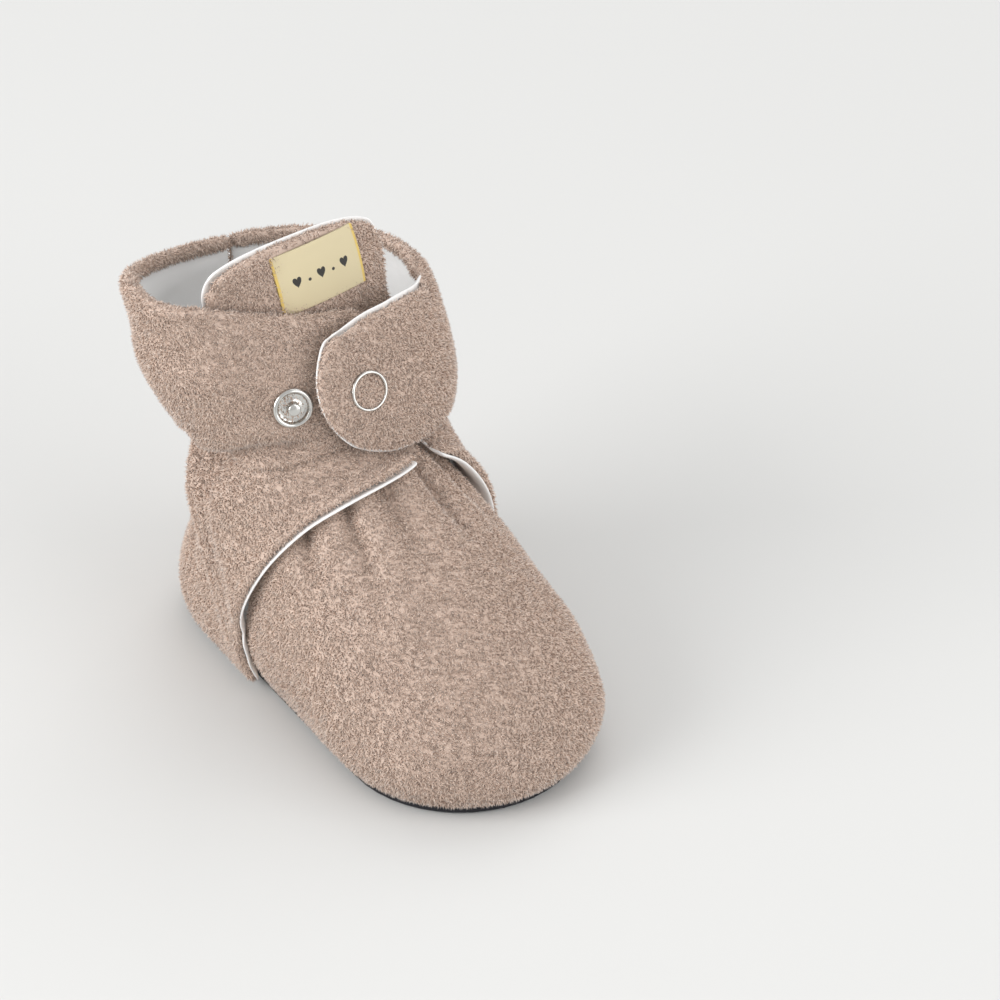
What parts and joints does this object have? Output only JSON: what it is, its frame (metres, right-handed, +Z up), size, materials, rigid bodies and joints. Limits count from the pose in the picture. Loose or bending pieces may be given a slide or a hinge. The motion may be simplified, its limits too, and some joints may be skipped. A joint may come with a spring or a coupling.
{
  "type": "baby bootie",
  "caption": "Soft fleece baby bootie with a cotton lining, a gripping fabric sole, a tall tongue and a snap-closed wrap cuff.",
  "frame": {"origin": "middle of the bounding box, on the plane that the sole rests on", "axes": "+Z up, -Y towards the toe, +X towards the side that the closing flap grows from"},
  "size_m": [0.075, 0.1266, 0.1084],
  "materials": {
    "fleece": "dusty beige-pink microfleece with a short soft pile",
    "lining": "white brushed cotton jersey",
    "sole_twill": "black cotton twill with diagonal ribs",
    "grip": "clear dark silicone dots, soft gloss",
    "wadding": "white needled wadding",
    "elastic": "white woven elastic",
    "nickel": "bright nickel plate on brass",
    "satin": "cream satin ribbon"
  },
  "bodies": {
    "root": {"outsole_fabric": "sole_twill", "sole_padding": "wadding", "insole_lining": "lining", "vamp_outer": "fleece", "vamp_lining": "lining", "quarter_outer": "fleece", "quarter_lining": "lining", "cuff_outer": "fleece", "cuff_lining": "lining", "ankle_elastic": "elastic"},
    "flap": {"flap_outer": "fleece", "flap_lining": "lining", "flap_snap_socket": "nickel", "flap_snap_ring": "nickel"},
    "underlap": {"underlap_outer": "fleece", "underlap_lining": "lining", "closed_stud": "nickel", "closed_stud_cap": "nickel", "tight_stud": "nickel", "tight_stud_cap": "nickel"},
    "tongue": {"tongue_outer": "fleece", "tongue_lining": "lining"},
    "label": {"label": "satin"}
  },
  "joints": [
    {"name": "flap_hinge", "type": "hinge", "parent": "root", "child": "flap", "pos_m": [0.03257, 0.01567, 0.07512], "axis": [0.0343, 0.3503, 0.936], "range_deg": [0, 110]},
    {"name": "underlap_hinge", "type": "hinge", "parent": "root", "child": "underlap", "pos_m": [-0.03013, 0.01832, 0.07997], "axis": [-0.2133, 0.3152, 0.9248], "range_deg": [-44, 0]},
    {"name": "tongue_tilt", "type": "hinge", "parent": "root", "child": "tongue", "pos_m": [0, 0.0118, 0.0627], "axis": [1, 0, 0], "range_deg": [0, 8]},
    {"name": "label_flip", "type": "hinge", "parent": "tongue", "child": "label", "pos_m": [0.002, 0.02537, 0.107], "axis": [-0.9981, -0.0177, -0.0586], "range_deg": [0, 150]}
  ],
  "couplings": [
    {"joint": "underlap_hinge", "follows": "flap_hinge", "ratio": -0.4},
    {"joint": "tongue_tilt", "follows": "flap_hinge", "ratio": 0.05}
  ]
}
